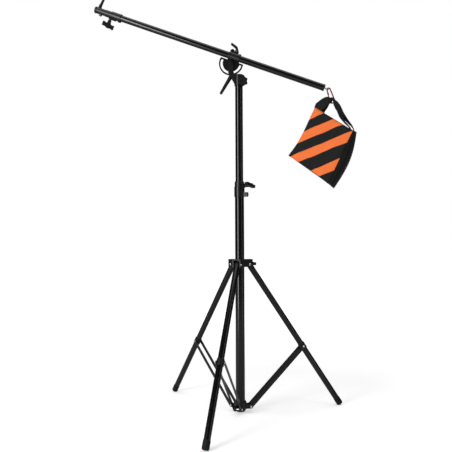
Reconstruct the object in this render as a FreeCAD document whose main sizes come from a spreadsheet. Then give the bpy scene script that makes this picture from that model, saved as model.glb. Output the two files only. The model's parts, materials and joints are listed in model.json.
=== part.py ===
import FreeCAD, Part
import math
import os
import Sketcher

# Two-way boom stand with a hung sandbag, in millimetres.  +Z is up and z = 0 is the floor.
# +X runs along the boom towards the sandbag end.  Sub-parts are first laid out about the
# column's axis and then shifted by column_x and column_y, which centres the whole stand on
# the origin.

SIZES = {
    # column
    "column_x": "71.84",
    "column_y": "72.66",
    "lower_tube_od": "38.5",
    "lower_tube_bore": "35.5",
    "lower_tube_base": "12",
    "lower_tube_top": "940",
    "upper_tube_od": "32.5",
    "upper_tube_bore": "29.5",
    "upper_tube_base": "482",
    "upper_tube_top": "1412",
    "end_cap_base": "5",
    "column_lock_base": "900",
    "column_lock_od": "44",
    "column_neck_od": "40",
    "column_neck_top": "964",
    # tripod
    "right_leg_azimuth": "19.15",
    "leg_angle": "33.75",
    "leg_od": "25",
    "leg_bore": "22.6",
    "leg_pivot_radius": "40.7",
    "leg_pivot_height": "614.5",
    "foot_radius": "13.6",
    "foot_length": "26",
    "foot_flat_depth": "0.6",
    "collar_base": "604",
    "collar_top": "637",
    "collar_od": "47.5",
    "collar_arm_reach": "52",
    "cheek_gap": "25.8",
    "cheek_thickness": "4.2",
    "leg_pin_radius": "4",
    "brace_point": "424.3",
    "brace_angle": "44.6",
    "brace_length": "334.9",
    "brace_width": "13.7",
    "brace_thickness": "2.5",
    "brace_gap": "30.4",
    "spider_pivot_radius": "41.2",
    "spider_pivot_height": "23.4",
    "spider_od": "47",
    "spider_top": "47",
    "brace_pin_radius": "3",
    # head
    "pan_bore_radius": "16.31",
    "barrel_od": "38.5",
    "barrel_base": "1376",
    "barrel_top": "1422",
    "pivot_x": "-33.3",
    "pivot_height": "1475",
    "yoke_half_width": "9.6",
    "plate_thickness": "5",
    "plate_radius": "52",
    "plate_flat": "11",
    "slot_radius": "41",
    "slot_width": "10",
    "pivot_bolt_radius": "4",
    "lock_bolt_radius": "4.6",
    "handle_length": "97",
    "handle_lean": "31",
    "handle_radius": "6",
    "pan_knob_azimuth": "-50",
    # boom
    "boom_tilt": "21.2",
    "boom_offset": "30",
    "boom_tube_od": "27.5",
    "boom_tube_bore": "25.1",
    "boom_right_end": "404",
    "boom_left_end": "-560",
    "inner_tube_od": "24.5",
    "inner_tube_bore": "22.1",
    "inner_tube_right_end": "372",
    "sleeve_left": "-20",
    "sleeve_right": "29",
    "sleeve_od": "35.5",
    "boom_lock_left": "-576",
    "boom_lock_right": "-530",
    "boom_lock_od": "33.5",
    "boom_neck_left": "-605",
    "boom_neck_od": "29.5",
    "tip_left": "-647",
    "tip_od": "27.5",
    "spigot_left": "-657",
    "spigot_radius": "8",
    "spigot_flange_radius": "14.5",
    "spigot_thread_radius": "4.76",
    "spigot_thread_depth": "14",
    # knobs
    "column_knob_reach": "47",
    "collar_knob_reach": "60",
    "boom_knob_reach": "38",
    "knob_bar_length": "51",
    "knob_bar_height": "21",
    "knob_stem_radius": "4",
    # hook and bag
    "eye_ring_radius": "7",
    "eye_wire_radius": "2",
    "eye_centre": "421.5",
    "hook_lean": "-16",
    "hook_wire_radius": "2.75",
    "hook_top_radius": "6.5",
    "hook_bottom_radius": "10",
    "hook_bottom_drop": "51.5",
    "hook_skew": "1",
    "bag_yaw": "-20",
    "bag_depth": "84",
    "bag_round": "16",
    "webbing_width": "38",
    "webbing_thickness": "3",
}

X_AXIS = FreeCAD.Vector(1, 0, 0)
Y_AXIS = FreeCAD.Vector(0, 1, 0)
Z_AXIS = FreeCAD.Vector(0, 0, 1)
ALONG_X = FreeCAD.Rotation(Y_AXIS, 90)
ALONG_Y = FreeCAD.Rotation(X_AXIS, -90)
ALONG_Z = FreeCAD.Rotation()
DOWN = FreeCAD.Rotation(X_AXIS, 180)

doc = FreeCAD.newDocument("boom_stand")
sheet = doc.addObject("Spreadsheet::Sheet", "Sizes")
for row, (alias, entry) in enumerate(SIZES.items(), start=1):
    sheet.set(f"A{row}", alias)
    sheet.set(f"B{row}", entry)
    sheet.setAlias(f"B{row}", alias)
doc.recompute()


class Size:
    """A number together with the spreadsheet formula that gives it."""

    def __init__(self, value, formula):
        self.value = value
        self.formula = formula

    def joined(self, other, sign, value):
        formula = other.formula if isinstance(other, Size) else repr(other)
        return Size(value, f"({self.formula} {sign} {formula})")

    def __add__(self, other):
        return self.joined(other, "+", self.value + number(other))

    def __sub__(self, other):
        return self.joined(other, "-", self.value - number(other))

    def __mul__(self, other):
        return self.joined(other, "*", self.value * number(other))

    def __truediv__(self, other):
        return self.joined(other, "/", self.value / number(other))

    def __neg__(self):
        return self * -1


def number(size):
    """The plain number of a Size or of a number."""
    return size.value if isinstance(size, Size) else size


class Sizes:
    """The spreadsheet's cells by alias."""

    def __getattr__(self, alias):
        return Size(float(sheet.get(alias)), f"Sizes.{alias}")


size = Sizes()


def bind(item, **values):
    """Set properties, bound to the spreadsheet where the value is a Size."""
    for name, value in values.items():
        if isinstance(value, Size):
            item.setExpression(name, value.formula)
        else:
            setattr(item, name, value)
    return item


def put(item, at, turn):
    """Give a primitive its place inside its sub-part."""
    item.Placement = FreeCAD.Placement(FreeCAD.Vector(*[number(c) for c in at]), turn)
    for name, value in zip("xyz", at):
        if isinstance(value, Size):
            item.setExpression(f"Placement.Base.{name}", value.formula)
    return item


def cylinder(radius, length, at=(0, 0, 0), turn=ALONG_Z):
    item = doc.addObject("Part::Cylinder", "cylinder")
    return put(bind(item, Radius=radius, Height=length), at, turn)


def cone(radius_1, radius_2, length, at=(0, 0, 0), turn=ALONG_Z):
    item = doc.addObject("Part::Cone", "cone")
    return put(bind(item, Radius1=radius_1, Radius2=radius_2, Height=length), at, turn)


def ball(radius, at=(0, 0, 0)):
    return put(bind(doc.addObject("Part::Sphere", "ball"), Radius=radius), at, ALONG_Z)


def block(length, width, height, at=(0, 0, 0), turn=ALONG_Z):
    """A box whose corner is at the given place."""
    item = doc.addObject("Part::Box", "block")
    return put(bind(item, Length=length, Width=width, Height=height), at, turn)


def ring(radius, wire, at):
    """A torus about its own Z axis."""
    item = doc.addObject("Part::Torus", "ring")
    return put(bind(item, Radius1=radius, Radius2=wire), at, ALONG_Z)


def fuse(*items):
    item = doc.addObject("Part::MultiFuse", "joined")
    item.Shapes = list(items)
    item.Refine = True
    return item


def cut(base, *tools):
    item = doc.addObject("Part::Cut", "cut")
    item.Base = base
    item.Tool = tools[0] if len(tools) == 1 else fuse(*tools)
    return item


def common(first, second):
    item = doc.addObject("Part::MultiCommon", "shared")
    item.Shapes = [first, second]
    return item


def tube(outer_radius, bore_radius, length, at=(0, 0, 0), turn=ALONG_Z):
    return cut(cylinder(outer_radius, length, at, turn), cylinder(bore_radius, length, at, turn))


def sketch_on(body, role, label):
    """A sketch on one of the body's own origin planes."""
    sketch = body.newObject("Sketcher::SketchObject", label)
    plane = [item for item in body.Origin.OriginFeatures if item.Role == role][0]
    sketch.AttachmentSupport = (plane, [""])
    sketch.MapMode = "FlatFace"
    return sketch


def outline(sketch, points):
    """A closed outline of straight runs whose corners are bound to the spreadsheet."""
    corners = [FreeCAD.Vector(number(a), number(b), 0) for a, b in points]
    count = len(corners)
    for i in range(count):
        sketch.addGeometry(Part.LineSegment(corners[i], corners[(i + 1) % count]))
    for i in range(count):
        sketch.addConstraint(Sketcher.Constraint("Coincident", i, 2, (i + 1) % count, 1))
    for i, pair in enumerate(points):
        for kind, value in zip(("DistanceX", "DistanceY"), pair):
            place = sketch.addConstraint(
                Sketcher.Constraint(kind, -1, 1, i, 1, float(number(value)))
            )
            if isinstance(value, Size):
                sketch.setExpression(f"Constraints[{place}]", value.formula)


def turned(label, points):
    """A body revolved about its own Z axis from (radius, height) corners."""
    body = doc.addObject("PartDesign::Body", label)
    sketch = sketch_on(body, "XZ_Plane", label + "_profile")
    outline(sketch, points)
    spin = body.newObject("PartDesign::Revolution", label + "_turned")
    spin.Profile = sketch
    spin.ReferenceAxis = (sketch, ["V_Axis"])
    spin.Angle = 360
    return body


def extruded(label, points, thickness):
    """A body padded evenly to both sides of its XZ plane from an (x, z) outline."""
    body = doc.addObject("PartDesign::Body", label)
    sketch = sketch_on(body, "XZ_Plane", label + "_outline")
    outline(sketch, points)
    pad = body.newObject("PartDesign::Pad", label + "_pad")
    pad.Profile = sketch
    pad.Midplane = True
    bind(pad, Length=thickness)
    return body


def frame_at(x, y, z, turn=ALONG_Z):
    return FreeCAD.Placement(FreeCAD.Vector(number(x), number(y), number(z)), turn)


def about_y(angle):
    return FreeCAD.Rotation(Y_AXIS, number(angle))


def about_z(angle):
    return FreeCAD.Rotation(Z_AXIS, number(angle))


# ---- the frames that sub-parts are laid out in -------------------------------------------

COLUMN = frame_at(size.column_x, size.column_y, 0)
BOOM = COLUMN * frame_at(size.pivot_x, 0, size.pivot_height, about_y(size.boom_tilt))
HOOK_POINT = BOOM.multVec(
    FreeCAD.Vector(
        (size.eye_centre + size.eye_ring_radius).value,
        0,
        size.boom_offset.value,
    )
)
HOOK = FreeCAD.Placement(HOOK_POINT, about_y(size.hook_lean))
HOOK_LOW_CENTRE = HOOK.multVec(
    FreeCAD.Vector(size.hook_skew.value, 0, -size.hook_bottom_drop.value)
)
BAG_POINT = HOOK_LOW_CENTRE - Z_AXIS * size.hook_bottom_radius.value
BAG = FreeCAD.Placement(BAG_POINT, about_z(size.bag_yaw))
LEGS = {
    "right": size.right_leg_azimuth.value,
    "left": size.right_leg_azimuth.value + 120,
    "front": size.right_leg_azimuth.value - 120,
}

# Gaps between sub-parts: round a turning pin, round a knob's stem, round a sliding tube, and
# from a knob's stem to the tube that it grips.
PIN_CLEARANCE = 0.06
STEM_CLEARANCE = 0.2
SLIDE_CLEARANCE = 0.08
STEM_GAP = 0.8
# Longer than any casting is wide, for bores that go right through.
THROUGH = 60

nodes = []


def node(label, item, frame):
    """Name a finished sub-part and put it in its place on the stand."""
    item.Label = label
    item.Placement = frame
    nodes.append(item)


def leg_frame(azimuth):
    """Origin at the leg's pivot, +Z down the leg towards the foot."""
    down = about_y(size.leg_angle * -1 + 180)
    pivot = frame_at(size.leg_pivot_radius, 0, size.leg_pivot_height, down)
    return COLUMN * frame_at(0, 0, 0, about_z(azimuth)) * pivot


def brace_frame(azimuth):
    """Origin at the brace's pivot on the spider, +Z up the brace towards the leg."""
    up = about_y(size.brace_angle)
    pivot = frame_at(size.spider_pivot_radius, 0, size.spider_pivot_height, up)
    return COLUMN * frame_at(0, 0, 0, about_z(azimuth)) * pivot


# ---- tripod -------------------------------------------------------------------------------

# Pin and rivet heads are (radius, height).
RIVET_HEAD = (4.4, 2.2)
LEG_PIN_HEAD = (5.2, 2.2)
HEAD_TAPER = 0.62
PLUG_SHOULDER = 12
PLUG_SPIGOT = 20
CLIP_LENGTH = 26
FOOT_WEB = 8
FOOT_ROUND = 5
COLLAR_KNOB_AZIMUTH = 54
COLLAR_KNOB_HEIGHT = 619
COLLAR_BOSS_RADIUS = 6
COLLAR_BOSS_REACH = 31
COLLAR_RIM = 5
CHANNEL_ROOF = 4.2
LUG_DEPTH = 17
LUG_DROP = 7.4
LUG_SLOT = 14


def leg_length():
    """From the leg's pivot to where the foot's rounded end begins."""
    lean = math.radians(size.leg_angle.value)
    corner = (size.foot_radius.value - FOOT_ROUND) * math.sin(lean)
    drop = (size.leg_pivot_height - FOOT_ROUND + size.foot_flat_depth).value - corner
    return drop / math.cos(lean)


def floor_touch(azimuth):
    """Where a foot's rounded edge meets the floor."""
    inward = size.foot_radius.value - FOOT_ROUND
    return leg_frame(azimuth).multVec(FreeCAD.Vector(inward, 0, leg_length()))


def leg_tube():
    length = leg_length() - FOOT_WEB - PLUG_SHOULDER
    return tube(size.leg_od / 2, size.leg_bore / 2, length, (0, 0, PLUG_SHOULDER))


def leg_plug():
    """Round-topped plug in the leg's upper end, with the cross bore for the pivot pin."""
    head = cylinder(size.leg_od / 2, PLUG_SHOULDER)
    spigot = cylinder(size.leg_bore / 2, PLUG_SPIGOT, (0, 0, PLUG_SHOULDER))
    solid = fuse(ball(size.leg_od / 2), head, spigot)
    bore = size.leg_pin_radius + PIN_CLEARANCE
    return cut(solid, cylinder(bore, size.leg_od * 2, (0, -size.leg_od, 0), ALONG_Y))


def leg_clip():
    """Ring round the leg between the two bars of its brace."""
    start = size.brace_point - CLIP_LENGTH / 2
    radius = size.brace_gap / 2 - 0.3
    return tube(radius, size.leg_od / 2, CLIP_LENGTH, (0, 0, start))


def foot(azimuth):
    """Rubber end cap over the tube's end, with a small flat where it meets the floor."""
    end = leg_length()
    start = size.foot_length * -1 + end
    face = size.foot_radius - FOOT_ROUND
    solids = [
        cylinder(size.foot_radius, size.foot_length, (0, 0, start)),
        cylinder(face, FOOT_ROUND, (0, 0, end)),
        ring(face, FOOT_ROUND, (0, 0, end)),
    ]
    socket = cylinder(size.leg_od / 2, end - FOOT_WEB)
    shape = cut(fuse(*solids), socket)
    floor = block(200, 200, 40)
    under_foot = COLUMN * frame_at(0, 0, 0, about_z(azimuth)) * frame_at(340, -100, -40)
    floor.Placement = leg_frame(azimuth).inverse() * under_foot
    return cut(shape, floor)


def radial(azimuth, start, side, height):
    """A place out from the column's axis, `start` outwards and `side` across."""
    place = about_z(azimuth).multVec(FreeCAD.Vector(number(start), number(side), 0))
    return (place.x, place.y, height)


def stem_bore(at, turn):
    """Clearance bore for a knob's stem, from `at` outwards."""
    return cylinder(size.knob_stem_radius + STEM_CLEARANCE, THROUGH, at, turn)


def bore_across(radius, x, z):
    """A rod along Y that goes right through a casting."""
    return cylinder(radius, THROUGH, (x, THROUGH / -2, z), ALONG_Y)


def leg_collar():
    """Sliding collar with three channel arms that the legs hang in."""
    height = size.collar_top - size.collar_base
    base = size.collar_base
    outer = size.cheek_gap + size.cheek_thickness * 2
    wall = size.collar_od / 2
    solids = [
        cylinder(wall, height, (0, 0, base)),
        cylinder(wall + 1.5, COLLAR_RIM, (0, 0, size.collar_top - COLLAR_RIM)),
        cylinder(COLLAR_BOSS_RADIUS, COLLAR_BOSS_REACH, (0, 0, COLLAR_KNOB_HEIGHT), knob_turn()),
    ]
    holes = [
        cylinder(size.lower_tube_od / 2 + SLIDE_CLEARANCE, THROUGH, (0, 0, base - 5)),
        stem_bore((0, 0, COLLAR_KNOB_HEIGHT), knob_turn()),
    ]
    for azimuth in LEGS.values():
        turn = about_z(azimuth)
        arm_at = radial(azimuth, 0, outer / -2, base)
        solids.append(block(size.collar_arm_reach, outer, height, arm_at, turn))
        channel_at = radial(azimuth, wall + 1.2, size.cheek_gap / -2, base - 1)
        channel = block(THROUGH, size.cheek_gap, height + 1 - CHANNEL_ROOF, channel_at, turn)
        holes.append(channel)
        pin_at = radial(azimuth, size.leg_pivot_radius, THROUGH / -2, size.leg_pivot_height)
        holes.append(cylinder(size.leg_pin_radius, THROUGH, pin_at, turn * ALONG_Y))
    return cut(fuse(*solids), *holes)


def knob_turn(azimuth=COLLAR_KNOB_AZIMUTH):
    """Turns +Z to point straight out from the column at an azimuth."""
    return about_z(azimuth) * ALONG_X


def through_pin(radius, half, head):
    """Pin across a leg along Y with a tapered head of (radius, height) at each end."""
    head_radius, head_height = head
    top = head_radius * HEAD_TAPER
    shank = cylinder(radius, half * 2, (0, half * -1, 0), ALONG_Y)
    head_1 = cone(head_radius, top, head_height, (0, half, 0), ALONG_Y)
    head_2 = cone(top, head_radius, head_height, (0, half * -1 - head_height, 0), ALONG_Y)
    return fuse(shank, head_1, head_2)


def spider():
    """Fixed lower hub with three pairs of lugs between the brace bars."""
    base = size.lower_tube_base
    lug = size.brace_gap - 0.8
    reach = size.spider_pivot_radius + 7
    solids = [
        cylinder(size.spider_od / 2, size.spider_top - base, (0, 0, base)),
        cylinder(size.spider_od / 2 + 2, 6, (0, 0, size.spider_top - 10)),
    ]
    holes = [cylinder(size.lower_tube_od / 2, THROUGH)]
    for azimuth in LEGS.values():
        turn = about_z(azimuth)
        lug_at = radial(azimuth, 0, lug / -2, size.spider_pivot_height - LUG_DROP)
        solids.append(block(reach, lug, LUG_DEPTH, lug_at, turn))
        gap_at = radial(azimuth, size.spider_od / 2 + 3, LUG_SLOT / -2, 0)
        holes.append(block(THROUGH, LUG_SLOT, THROUGH, gap_at, turn))
        pin_at = radial(azimuth, size.spider_pivot_radius, THROUGH / -2, size.spider_pivot_height)
        holes.append(cylinder(size.brace_pin_radius, THROUGH, pin_at, turn * ALONG_Y))
    return cut(fuse(*solids), *holes)


def brace():
    """Pair of flat bars with round ends, one each side of the leg."""
    half_width = size.brace_width / 2
    thick = size.brace_thickness
    bars = []
    for y in (size.brace_gap / 2, size.brace_gap / -2 - thick):
        bars.append(block(size.brace_width, thick, size.brace_length, (-half_width, y, 0)))
        bars.append(cylinder(half_width, thick, (0, y, 0), ALONG_Y))
        bars.append(cylinder(half_width, thick, (0, y, size.brace_length), ALONG_Y))
    bore = size.brace_pin_radius + PIN_CLEARANCE
    return cut(fuse(*bars), bore_across(bore, 0, 0))


def brace_rivet():
    """Rivet heads at the leg end of a brace, outside its two bars."""
    face = size.brace_gap / 2 + size.brace_thickness
    end = size.brace_length
    wide, tall = RIVET_HEAD
    narrow = wide * HEAD_TAPER
    head_1 = cone(wide, narrow, tall, (0, face, end), ALONG_Y)
    head_2 = cone(narrow, wide, tall, (0, face * -1 - tall, end), ALONG_Y)
    return fuse(head_1, head_2)


def tripod():
    spider_pin_half = size.brace_gap / 2 + size.brace_thickness + 0.2
    leg_pin_half = size.cheek_gap / 2 + size.cheek_thickness
    upright = FreeCAD.Placement(FreeCAD.Vector(), about_y(size.leg_angle - 180))
    node("lower_spider", spider(), COLUMN)
    node("leg_collar", leg_collar(), COLUMN)
    for side, azimuth in LEGS.items():
        leg = leg_frame(azimuth)
        bars = brace_frame(azimuth)
        node(f"leg_tube_{side}", leg_tube(), leg)
        node(f"leg_plug_{side}", leg_plug(), leg)
        node(f"leg_clip_{side}", leg_clip(), leg)
        node(f"foot_{side}", foot(azimuth), leg)
        leg_pin = through_pin(size.leg_pin_radius, leg_pin_half, LEG_PIN_HEAD)
        node(f"leg_pin_{side}", leg_pin, leg * upright)
        node(f"brace_{side}", brace(), bars)
        node(f"brace_rivet_{side}", brace_rivet(), bars)
        spider_pin = through_pin(size.brace_pin_radius, spider_pin_half, RIVET_HEAD)
        node(f"spider_pin_{side}", spider_pin, bars)


# ---- knobs --------------------------------------------------------------------------------

KNOB_NECK = 14
KNOB_THICKNESS = 12
KNOB_HUB_RADIUS = 7.5
WHEEL_INNER = 21
WHEEL_THICKNESS = 14
WHEEL_RADIUS = 18
LOBE_RADIUS = 6
LOBE_CIRCLE = 17
LOBES = 6
WHEEL_STUD_GAP = 0.4


def t_knob(label, stem_start, reach):
    """Waisted T-shaped grip on a stem.  +Z points away from the tube, whose axis is z = 0."""
    half = size.knob_bar_length / 2
    low = reach
    high = reach + size.knob_bar_height
    neck = low - KNOB_NECK
    grip = extruded(
        label + "_grip",
        [
            (half * -1, low + 1),
            (-10, low + 3),
            (-6.5, low - 4),
            (-5.5, neck),
            (5.5, neck),
            (6.5, low - 4),
            (10, low + 3),
            (half, low + 1),
            (half, high - 2),
            (9, high - 3),
            (5, high),
            (-5, high),
            (-9, high - 3),
            (half * -1, high - 2),
        ],
        KNOB_THICKNESS,
    )
    hub = cylinder(KNOB_HUB_RADIUS, size.knob_bar_height + KNOB_NECK, (0, 0, neck))
    stem = cylinder(size.knob_stem_radius, low - stem_start, (0, 0, stem_start))
    return fuse(grip, hub, stem)


def lobed_knob():
    """Lobed hand wheel with its stud.  +Z points away from the column's axis."""
    body = cylinder(WHEEL_RADIUS, WHEEL_THICKNESS, (0, 0, WHEEL_INNER))
    lobes = []
    for i in range(LOBES):
        angle = 2 * math.pi * i / LOBES
        x = LOBE_CIRCLE * math.cos(angle)
        y = LOBE_CIRCLE * math.sin(angle)
        lobes.append(cylinder(LOBE_RADIUS, WHEEL_THICKNESS - 2, (x, y, WHEEL_INNER + 1)))
    start = size.upper_tube_od / 2 + WHEEL_STUD_GAP
    stud = cylinder(size.knob_stem_radius, start * -1 + WHEEL_INNER + 5, (0, 0, start))
    boss = cylinder(8, 2.5, (0, 0, WHEEL_INNER + WHEEL_THICKNESS))
    return fuse(body, stud, boss, *lobes)


# ---- column -------------------------------------------------------------------------------

LOCK_KNOB_AZIMUTH = -35
LOCK_KNOB_HEIGHT = 946
LOCK_KNOB_ROLL = -12
COLLAR_KNOB_ROLL = 8
CLAMP_AZIMUTH = -14
BUSH_BASE = 957
BUSH_RADIUS = 18.3


def end_cap():
    """Plastic plug in the bottom of the lower tube."""
    base = size.end_cap_base
    wall = size.lower_tube_od / 2
    plug = size.lower_tube_bore / 2
    return turned(
        "column_end_cap_body",
        [
            (0, base),
            (wall - 2, base),
            (wall, base + 2),
            (wall, size.lower_tube_base),
            (plug, size.lower_tube_base),
            (plug, size.lower_tube_base + 22),
            (plug - 2.5, size.lower_tube_base + 22),
            (plug - 2.5, base + 4),
            (0, base + 4),
        ],
    )


def column_lock():
    """Clamp on top of the lower tube: socket, narrower neck, knob boss and clamp boss."""
    base = size.column_lock_base
    wall = size.column_lock_od / 2
    neck = size.column_neck_od / 2
    shell = turned(
        "column_lock_shell",
        [
            (size.lower_tube_od / 2, base),
            (wall - 1, base),
            (wall, base + 1),
            (wall, base + 43),
            (wall - 1, base + 44),
            (neck, base + 44),
            (neck, size.column_neck_top - 1),
            (neck - 1, size.column_neck_top),
            (BUSH_RADIUS, size.column_neck_top),
            (BUSH_RADIUS, BUSH_BASE),
            (size.upper_tube_od / 2 + 0.6, BUSH_BASE),
            (size.upper_tube_od / 2 + 0.6, size.lower_tube_top),
            (size.lower_tube_od / 2, size.lower_tube_top),
        ],
    )
    knob_out = knob_turn(LOCK_KNOB_AZIMUTH)
    knob_boss_at = radial(LOCK_KNOB_AZIMUTH, 19.3, 0, LOCK_KNOB_HEIGHT)
    knob_boss = tube(9, size.knob_stem_radius + STEM_CLEARANCE, 9, knob_boss_at, knob_out)
    clamp_at = radial(CLAMP_AZIMUTH, 17, 0, base + 9.5)
    clamp_boss = cylinder(8.5, 21, clamp_at, knob_turn(CLAMP_AZIMUTH))
    rib = block(19, 14, 19, radial(CLAMP_AZIMUTH, 17, -7, base), about_z(CLAMP_AZIMUTH))
    clear = cylinder(size.lower_tube_od / 2, THROUGH, (0, 0, base - 10))
    stem_way = stem_bore((0, 0, LOCK_KNOB_HEIGHT), knob_out)
    side_bosses = cut(fuse(clamp_boss, rib), clear)
    return cut(fuse(shell, knob_boss, side_bosses), stem_way)


def column():
    lower = size.lower_tube_top - size.lower_tube_base
    upper = size.upper_tube_top - size.upper_tube_base
    upper_wall = size.upper_tube_od / 2
    lower_wall = size.lower_tube_od / 2
    node(
        "column_lower_tube",
        tube(lower_wall, size.lower_tube_bore / 2, lower, (0, 0, size.lower_tube_base)),
        COLUMN,
    )
    node("column_end_cap", end_cap(), COLUMN)
    node("column_lock_collar", column_lock(), COLUMN)
    node(
        "column_bush",
        tube(BUSH_RADIUS, upper_wall + SLIDE_CLEARANCE, 9, (0, 0, BUSH_BASE)),
        COLUMN,
    )
    node(
        "column_upper_tube",
        tube(upper_wall, size.upper_tube_bore / 2, upper, (0, 0, size.upper_tube_base)),
        COLUMN,
    )
    slider = turned(
        "column_slider_body",
        [
            (10, size.upper_tube_base - 6),
            (size.lower_tube_bore / 2 - SLIDE_CLEARANCE, size.upper_tube_base - 6),
            (size.lower_tube_bore / 2 - SLIDE_CLEARANCE, size.upper_tube_base),
            (size.upper_tube_bore / 2, size.upper_tube_base),
            (size.upper_tube_bore / 2, size.upper_tube_base + 24),
            (10, size.upper_tube_base + 24),
        ],
    )
    node("column_slider", slider, COLUMN)
    lock_turn = knob_turn(LOCK_KNOB_AZIMUTH) * about_z(90 + LOCK_KNOB_ROLL)
    lock_knob = t_knob("column_lock", upper_wall + STEM_GAP, size.column_knob_reach)
    node("column_lock_knob", lock_knob, COLUMN * frame_at(0, 0, LOCK_KNOB_HEIGHT, lock_turn))
    collar_turn = knob_turn() * about_z(90 + COLLAR_KNOB_ROLL)
    collar_knob = t_knob("collar", lower_wall + STEM_GAP, size.collar_knob_reach)
    node("collar_knob", collar_knob, COLUMN * frame_at(0, 0, COLLAR_KNOB_HEIGHT, collar_turn))


# ---- head ---------------------------------------------------------------------------------

YOKE_STRAP = 10
PIVOT_BOSS = 10.8
PAN_KNOB_HEIGHT = 1391
BARREL_GROOVES = (2.5, 38)
GROOVE_DEPTH = 1.2


def head_casting():
    """Clamp barrel with a yoke of two cheeks that the slotted plate turns between."""
    x = size.pivot_x
    top = size.pivot_height
    lug = size.pivot_height - size.slot_radius
    thick = size.yoke_half_width * 2
    web = extruded(
        "yoke_web",
        [
            (-15, size.barrel_base + 3),
            (-44, lug - 4.5),
            (x, lug),
            (-3, size.barrel_top - 1),
            (-3, size.barrel_base + 3),
        ],
        thick,
    )
    strap = block(
        YOKE_STRAP * 2, thick, size.slot_radius, (x - YOKE_STRAP, size.yoke_half_width * -1, lug)
    )
    lug_boss = cylinder(11.5, thick, (x, size.yoke_half_width * -1, lug), ALONG_Y)
    eye_boss = cylinder(PIVOT_BOSS, thick, (x, size.yoke_half_width * -1, top), ALONG_Y)
    wall = size.barrel_od / 2
    barrel = cylinder(wall, size.barrel_top - size.barrel_base, (0, 0, size.barrel_base))
    grooves = [
        tube(wall + 1, wall - GROOVE_DEPTH, GROOVE_DEPTH * 2, (0, 0, size.barrel_base + height))
        for height in BARREL_GROOVES
    ]
    clamp = cylinder(9, 20.5, (0, 0, PAN_KNOB_HEIGHT), knob_turn(size.pan_knob_azimuth))
    gap = size.plate_thickness + 0.24
    sweep = cylinder(size.plate_radius + 1.2, gap, (x, gap / -2, top), ALONG_Y)
    holes = [
        sweep,
        cylinder(size.pan_bore_radius, size.upper_tube_top - size.barrel_base + 0.3,
                 (0, 0, size.barrel_base)),
        bore_across(size.pivot_bolt_radius, x, top),
        bore_across(size.lock_bolt_radius, x, lug),
        stem_bore((0, 0, PAN_KNOB_HEIGHT), knob_turn(size.pan_knob_azimuth)),
    ]
    return cut(fuse(web, strap, lug_boss, eye_boss, cut(barrel, *grooves), clamp), *holes)


def tilt_plate():
    """Half-round plate with an arc slot about the pivot, and a tab up into the sleeve."""
    thick = size.plate_thickness
    side = thick / -2
    disc = cylinder(size.plate_radius, thick, (0, side, 0), ALONG_Y)
    below = block(size.plate_radius * 2, thick, size.plate_radius + size.plate_flat,
                  (size.plate_radius * -1, side, size.plate_radius * -1))
    plate = common(disc, below)
    tab = block(36, thick, 7, (-18, side, size.plate_flat - 2))
    half = size.slot_width / 2
    washer = tube(size.slot_radius + half, size.slot_radius - half, thick, (0, side, 0), ALONG_Y)
    lower_half = block(THROUGH * 2, thick, THROUGH, (THROUGH * -1, side, THROUGH * -1))
    slot = [
        common(washer, lower_half),
        cylinder(half, thick, (size.slot_radius, side, 0), ALONG_Y),
        cylinder(half, thick, (size.slot_radius * -1, side, 0), ALONG_Y),
    ]
    bore = cylinder(size.pivot_bolt_radius + PIN_CLEARANCE, thick, (0, side, 0), ALONG_Y)
    return cut(fuse(plate, tab), bore, *slot)


def cross_bolt(radius, head_radius, head_height, tail):
    """Bolt along Y with a low head on the front face of the yoke."""
    face = size.yoke_half_width
    shank = cylinder(radius, face * 2 + tail, (0, face * -1, 0), ALONG_Y)
    head = cone(head_radius * 0.8, head_radius, head_height * 0.4,
                (0, face * -1 - head_height, 0), ALONG_Y)
    collar = cylinder(head_radius, head_height * 0.6, (0, face * -1 - head_height * 0.6, 0),
                      ALONG_Y)
    return fuse(shank, head, collar)


def pivot_bolt():
    nut = cylinder(7.5, 5, (0, size.yoke_half_width, 0), ALONG_Y)
    return fuse(cross_bolt(size.pivot_bolt_radius, 7.5, 4.5, 7), nut)


def tilt_handle():
    """Lever on the slot bolt: hub behind the yoke and a round rod leaning outwards."""
    start = size.yoke_half_width + 0.3
    hub = cylinder(9.5, 15, (0, start, 0), ALONG_Y)
    nose = cone(9.5, 7, 12, (0, start + 15, 0), ALONG_Y)
    down = about_y(size.handle_lean + 180)
    foot_of_rod = size.yoke_half_width + 0.3 + 19.5
    reach = size.handle_length - size.handle_radius
    rod = cone(size.handle_radius + 3, size.handle_radius, reach, (0, foot_of_rod, 0), down)
    end = down.multVec(FreeCAD.Vector(0, 0, reach.value))
    tip = ball(size.handle_radius, (end.x, foot_of_rod, end.z))
    bore = cylinder(size.lock_bolt_radius + 0.1, 17, (0, start - 1, 0), ALONG_Y)
    return cut(fuse(hub, nose, rod, tip), bore)


def head():
    lug = size.pivot_height - size.slot_radius
    node("head_casting", head_casting(), COLUMN)
    pan_knob = frame_at(0, 0, PAN_KNOB_HEIGHT, knob_turn(size.pan_knob_azimuth))
    node("pan_knob", lobed_knob(), COLUMN * pan_knob)
    node("tilt_pivot_bolt", pivot_bolt(), COLUMN * frame_at(size.pivot_x, 0, size.pivot_height))
    lock_at = COLUMN * frame_at(size.pivot_x, 0, lug)
    node("tilt_lock_bolt", cross_bolt(size.lock_bolt_radius, 8, 4.5, 15), lock_at)
    node("tilt_handle", tilt_handle(), lock_at)
    node("tilt_plate", tilt_plate(), BOOM)


# ---- boom ---------------------------------------------------------------------------------

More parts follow.
